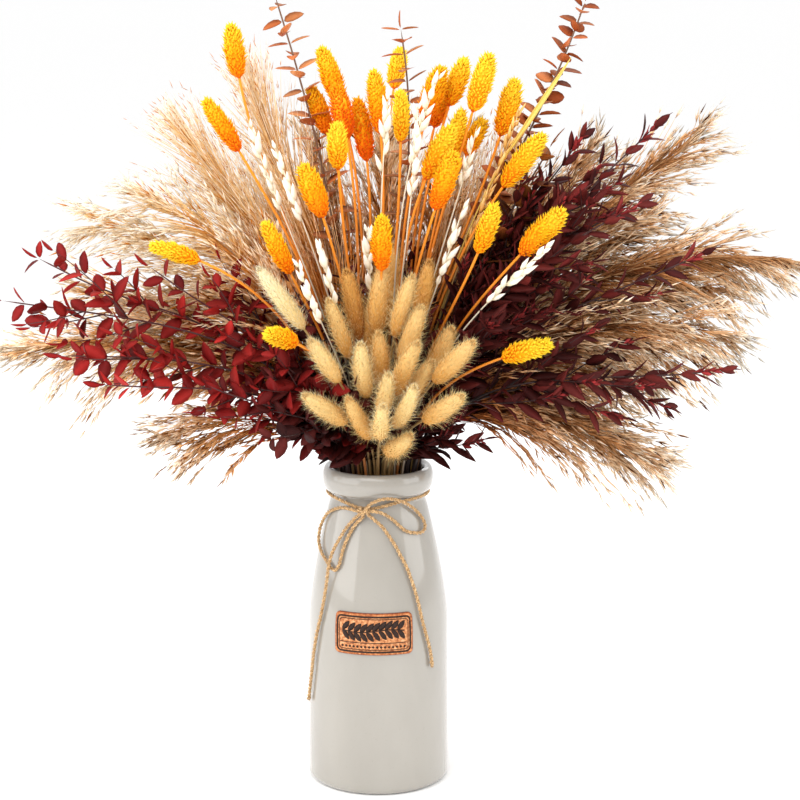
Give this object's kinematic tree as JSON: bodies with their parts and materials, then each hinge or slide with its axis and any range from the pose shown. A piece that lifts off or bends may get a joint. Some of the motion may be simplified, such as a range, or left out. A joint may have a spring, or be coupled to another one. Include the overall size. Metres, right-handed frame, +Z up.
{
  "type": "vase of dried pampas grass",
  "caption": "Bottle-shaped glazed vase with a leather label and a twine bow, filled with a fanned bouquet of dried grasses and leaf sprays.",
  "frame": {"origin": "centre of the vase's flat foot, on the surface it stands on", "axes": "+Z up along the vase's axis; -Y towards the front, where the label and the bow are; +X to the right as seen from the front"},
  "size_m": [0.488, 0.2277, 0.486],
  "materials": {
    "glaze": "gloss",
    "label": "matte",
    "twine": "matte",
    "plume": "matte",
    "parvifolia": "matte",
    "eucalyptus": "matte",
    "canary_grass": "matte",
    "bunny_tail": "matte",
    "white_ear": "matte"
  },
  "bodies": {
    "root": {"vase": "glaze", "label": "label", "twine_wrap": "twine", "twine_knot": "twine", "twine_loop_left": "twine", "twine_loop_right": "twine", "twine_tail_left": "twine", "twine_tail_right": "twine", "plume_01": "plume", "plume_02": "plume", "plume_03": "plume", "plume_04": "plume", "plume_05": "plume", "plume_06": "plume", "plume_07": "plume", "plume_08": "plume", "plume_09": "plume", "plume_10": "plume", "plume_11": "plume", "plume_12": "plume", "plume_13": "plume", "plume_14": "plume", "parvifolia_01": "parvifolia", "parvifolia_02": "parvifolia", "parvifolia_03": "parvifolia", "parvifolia_04": "parvifolia", "parvifolia_05": "parvifolia", "parvifolia_06": "parvifolia", "parvifolia_07": "parvifolia", "parvifolia_08": "parvifolia", "parvifolia_09": "parvifolia", "eucalyptus_01": "eucalyptus", "eucalyptus_02": "eucalyptus", "eucalyptus_03": "eucalyptus", "canary_grass_01": "canary_grass", "canary_grass_02": "canary_grass", "canary_grass_03": "canary_grass", "canary_grass_04": "canary_grass", "canary_grass_05": "canary_grass", "canary_grass_06": "canary_grass", "canary_grass_07": "canary_grass", "canary_grass_08": "canary_grass", "canary_grass_09": "canary_grass", "canary_grass_10": "canary_grass", "canary_grass_11": "canary_grass", "canary_grass_12": "canary_grass", "bunny_tail_01": "bunny_tail", "bunny_tail_02": "bunny_tail", "bunny_tail_03": "bunny_tail", "bunny_tail_04": "bunny_tail", "bunny_tail_05": "bunny_tail", "bunny_tail_06": "bunny_tail", "bunny_tail_07": "bunny_tail", "bunny_tail_08": "bunny_tail", "bunny_tail_09": "bunny_tail", "bunny_tail_10": "bunny_tail", "white_ear_01": "white_ear", "white_ear_02": "white_ear", "white_ear_03": "white_ear", "white_ear_04": "white_ear"}
  },
  "joints": []
}
